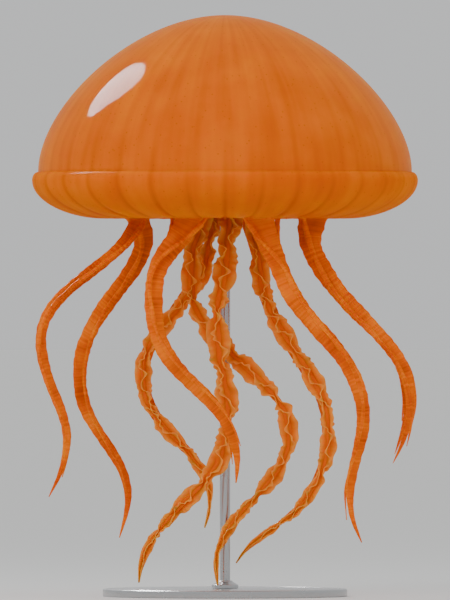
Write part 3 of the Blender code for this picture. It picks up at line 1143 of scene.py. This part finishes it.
def make_turned_steel():
    material, tree, shader = new_material("turned stainless steel")
    place = add_node(tree, "ShaderNodeTexCoord").outputs["Object"]
    flat = add_node(
        tree, "ShaderNodeVectorMath", {"operation": "MULTIPLY", 1: (1.0, 1.0, 0.0)}, {0: place}
    )
    radius = add_node(tree, "ShaderNodeVectorMath", {"operation": "LENGTH"}, {0: flat.outputs[0]})
    height = add_node(tree, "ShaderNodeSeparateXYZ", links={"Vector": place})
    rings = add_node(
        tree,
        "ShaderNodeCombineXYZ",
        links={"X": radius.outputs["Value"], "Z": height.outputs["Z"]},
    )
    # Real grooves lie about 0.1 mm apart, and these are four times as coarse, so they show.
    grooves = add_node(
        tree,
        "ShaderNodeTexNoise",
        {"Scale": GROOVES_PER_METRE, "Detail": 2.0},
        {"Vector": rings.outputs[0]},
    )
    smudges = add_node(
        tree, "ShaderNodeTexNoise", {"Scale": SMUDGES_PER_METRE, "Detail": 4.0}, {"Vector": place}
    )
    rough = add_node(
        tree,
        "ShaderNodeMapRange",
        {"To Min": 0.20, "To Max": 0.36},
        {"Value": smudges.outputs["Fac"]},
    )
    bump = add_node(
        tree,
        "ShaderNodeBump",
        {"Strength": 0.12, "Distance": GROOVE_DEPTH},
        {"Height": grooves.outputs["Fac"]},
    )
    tree.links.new(rough.outputs[0], shader.inputs["Roughness"])
    tree.links.new(bump.outputs[0], shader.inputs["Normal"])
    shader.inputs["Base Color"].default_value = hex_colour("B9BABB")
    shader.inputs["Metallic"].default_value = 1.0
    return material


turned_steel = make_turned_steel()
print("made", turned_steel.name)

# %% Helpers for lathe work


def turned_piece(name, points, steps):
    """Spins a closed profile into a steel piece with soft faces and sharp edges."""
    obj = spin_profile(name, points, steps)
    obj.data.shade_smooth()
    select_only(obj)
    bpy.ops.object.shade_smooth_by_angle(angle=math.radians(35))
    finish_piece(obj, turned_steel)
    return obj


def rounded(radius, size, height, start):
    """A quarter circle, clockwise from an angle, whose centre lies inside an edge of the piece."""
    angles = np.radians(np.linspace(start, start - 90, 5))
    return [(radius + size * math.cos(a), height + size * math.sin(a)) for a in angles]


# %% Base, rod and collar
_, base_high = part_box("stand_base")
rod_low, rod_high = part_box("stand_rod")
ROD_RADIUS = 4.0 * MM
ROUND = 0.8 * MM
BASE_ROUND = 1.2 * MM
GROOVE_INSET = 6.4 * MM
GROOVE_WIDE = 1.6 * MM
GROOVE_DEEP = 0.5 * MM
COLLAR_HEIGHT = 6.0 * MM
COLLAR_SKIRT = 3.0 * MM

base_edge, base_top = base_high.x, base_high.z
groove_start = base_edge - GROOVE_INSET
base_profile = [
    (0.0, base_top),
    (groove_start, base_top),
    (groove_start + GROOVE_DEEP, base_top - GROOVE_DEEP),
    (groove_start + GROOVE_WIDE - GROOVE_DEEP, base_top - GROOVE_DEEP),
    (groove_start + GROOVE_WIDE, base_top),
    *rounded(base_edge - BASE_ROUND, BASE_ROUND, base_top - BASE_ROUND, 90),
    *rounded(base_edge - ROUND, ROUND, ROUND, 0),
    (0.0, 0.0),
]
rod_profile = [
    (0.0, rod_high.z),
    *rounded(ROD_RADIUS - ROUND, ROUND, rod_high.z - ROUND, 90),
    (ROD_RADIUS, rod_low.z),
    (0.0, rod_low.z),
]
# The collar is a washer with a domed top, drawn as a closed loop round its own section.
collar_edge = rod_high.x
neck = ROD_RADIUS + 0.05 * MM
collar_profile = [
    (neck, rod_low.z + COLLAR_HEIGHT),
    *rounded(ROD_RADIUS + 1.2 * MM, ROUND, rod_low.z + COLLAR_HEIGHT - ROUND, 90),
    *rounded(collar_edge - ROUND, ROUND, rod_low.z + COLLAR_SKIRT - ROUND, 90),
    (collar_edge, rod_low.z),
    (neck, rod_low.z),
    (neck, rod_low.z + COLLAR_HEIGHT),
]
stand_base = turned_piece("turned_base", base_profile, 160)
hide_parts("stand_base")
stand_rod = turned_piece("turned_rod", rod_profile, 48)
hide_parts("stand_rod")
turned_piece("turned_collar", collar_profile, 64)

# %% [markdown]
# ## Floor, light and camera
#
# The model stands on a plain pale floor in soft studio light. Up to the left and a little behind
# stands a glowing panel that only reflections see, which gives the wet bell one clear gloss near
# its shoulder. An area light can be round or oval but not a drop, so the panel is a mesh cut to a
# bent egg. Two large soft lights and a pale sky do the rest, and neither light shows as a gloss.

# %% Floor and sky


def make_floor():
    select_none()
    bpy.ops.mesh.primitive_circle_add(vertices=96, radius=60, fill_type="NGON", location=(0, 0, 0))
    floor = bpy.context.object
    floor.name = "studio_floor"
    material, _, shader = new_material("matt white paint")
    shader.inputs["Base Color"].default_value = hex_colour("ECECEA")
    shader.inputs["Roughness"].default_value = 0.9
    floor.data.materials.append(material)
    return floor


def make_sky(strength, horizon):
    """An even sky that is a little darker where it meets the floor, as the floor itself is."""
    world = bpy.data.worlds.new("pale sky")
    world.use_nodes = True
    tree = world.node_tree
    background = tree.nodes["Background"]
    background.inputs["Color"].default_value = hex_colour("F4F5F6")
    view = add_node(tree, "ShaderNodeTexCoord").outputs["Generated"]
    height = add_node(tree, "ShaderNodeSeparateXYZ", links={"Vector": view})
    level = add_node(
        tree,
        "ShaderNodeMapRange",
        {"From Max": 0.35, "To Min": strength * horizon, "To Max": strength},
        {"Value": height.outputs["Z"]},
    )
    tree.links.new(level.outputs[0], background.inputs["Strength"])
    bpy.context.scene.world = world


floor = make_floor()
make_sky(0.85, 0.83)
print("made", floor.name, "and the sky")

# %% Two soft lights


def facing(target, direction, distance, long_axis=(0, 0, 1)):
    """The place of a flat thing that faces a target, with its own X along the long axis."""
    away = Vector(direction).normalized()
    side = Vector(long_axis)
    side = (side - away * side.dot(away)).normalized()
    turn = Matrix((side, away.cross(side), away)).transposed().to_4x4()
    return Matrix.Translation(Vector(target) + away * distance) @ turn


def add_softbox(name, place, size, watts):
    lamp = bpy.data.lights.new(name, "AREA")
    lamp.shape = "DISK"
    lamp.size = size
    lamp.energy = watts
    obj = bpy.data.objects.new(name, lamp)
    bpy.context.scene.collection.objects.link(obj)
    obj.matrix_world = place
    obj.visible_glossy = False


middle = Vector((0, 0, 250)) * MM
add_softbox("key softbox", facing(middle, (-0.45, -0.85, 0.5), 2.2), 1.4, 20.0)
add_softbox("fill softbox", facing(middle, (0.8, -0.5, 0.25), 2.4), 1.6, 8.0)
print("lit by two softboxes and a pale sky")

# %% The panel that makes the gloss


def add_gloss_panel(name, place, length, width, taper, bend, glow):
    """A bent egg, wider towards its own +X, that shows in reflections and nowhere else."""
    select_none()
    bpy.ops.mesh.primitive_circle_add(vertices=96, radius=0.5, fill_type="NGON", location=(0, 0, 0))
    obj = bpy.context.object
    obj.name = name
    points, _ = read_points(obj.data)
    along = 2 * points[:, 0]  # -1 to 1
    points[:, 1] *= width * (1 + taper * along)
    points[:, 1] -= bend * along**2
    points[:, 0] *= length
    move_points(obj.data, points)
    obj.data.transform(place)
    material, _, shader = new_material("glowing diffuser")
    shader.inputs["Base Color"].default_value = hex_colour("000000")
    shader.inputs["Emission Color"].default_value = hex_colour("FFFFFF")
    shader.inputs["Emission Strength"].default_value = glow
    obj.data.materials.append(material)
    obj.visible_camera = obj.visible_diffuse = obj.visible_transmission = False
    obj.visible_shadow = False
    return obj


shoulder = Vector((-84, -84, 389.5)) * MM
gloss_panel = add_gloss_panel(
    "gloss panel",
    facing(shoulder, (-0.562, 0.506, 0.656), 1.5, (0.732, -0.022, 0.679)),
    length=0.625,
    width=0.56,
    taper=0.36,
    bend=0.04,
    glow=52.0,
)
print("made the", gloss_panel.name)

# %% [markdown]
# The camera is level and looks straight at the front of the model. It stands twelve metres away
# with a long lens, so that the near strands look hardly larger than the far ones.

# %% Camera
DISTANCE = 12.0
VIEW_HEIGHT = 466.3 * MM  # that it takes in at the middle of the animal
AIM_Z = 230.3 * MM
SENSOR = 36  # millimetres


def make_camera():
    camera = bpy.data.cameras.new("camera")
    camera.sensor_width = SENSOR
    camera.lens = SENSOR * DISTANCE / VIEW_HEIGHT
    camera.clip_end = 100
    obj = bpy.data.objects.new("camera", camera)
    obj.location = (0, -DISTANCE, AIM_Z)
    obj.rotation_euler = (math.radians(90), 0, 0)
    bpy.context.scene.collection.objects.link(obj)
    bpy.context.scene.camera = obj
    return obj


camera = make_camera()
print("lens", round(camera.data.lens), "mm")
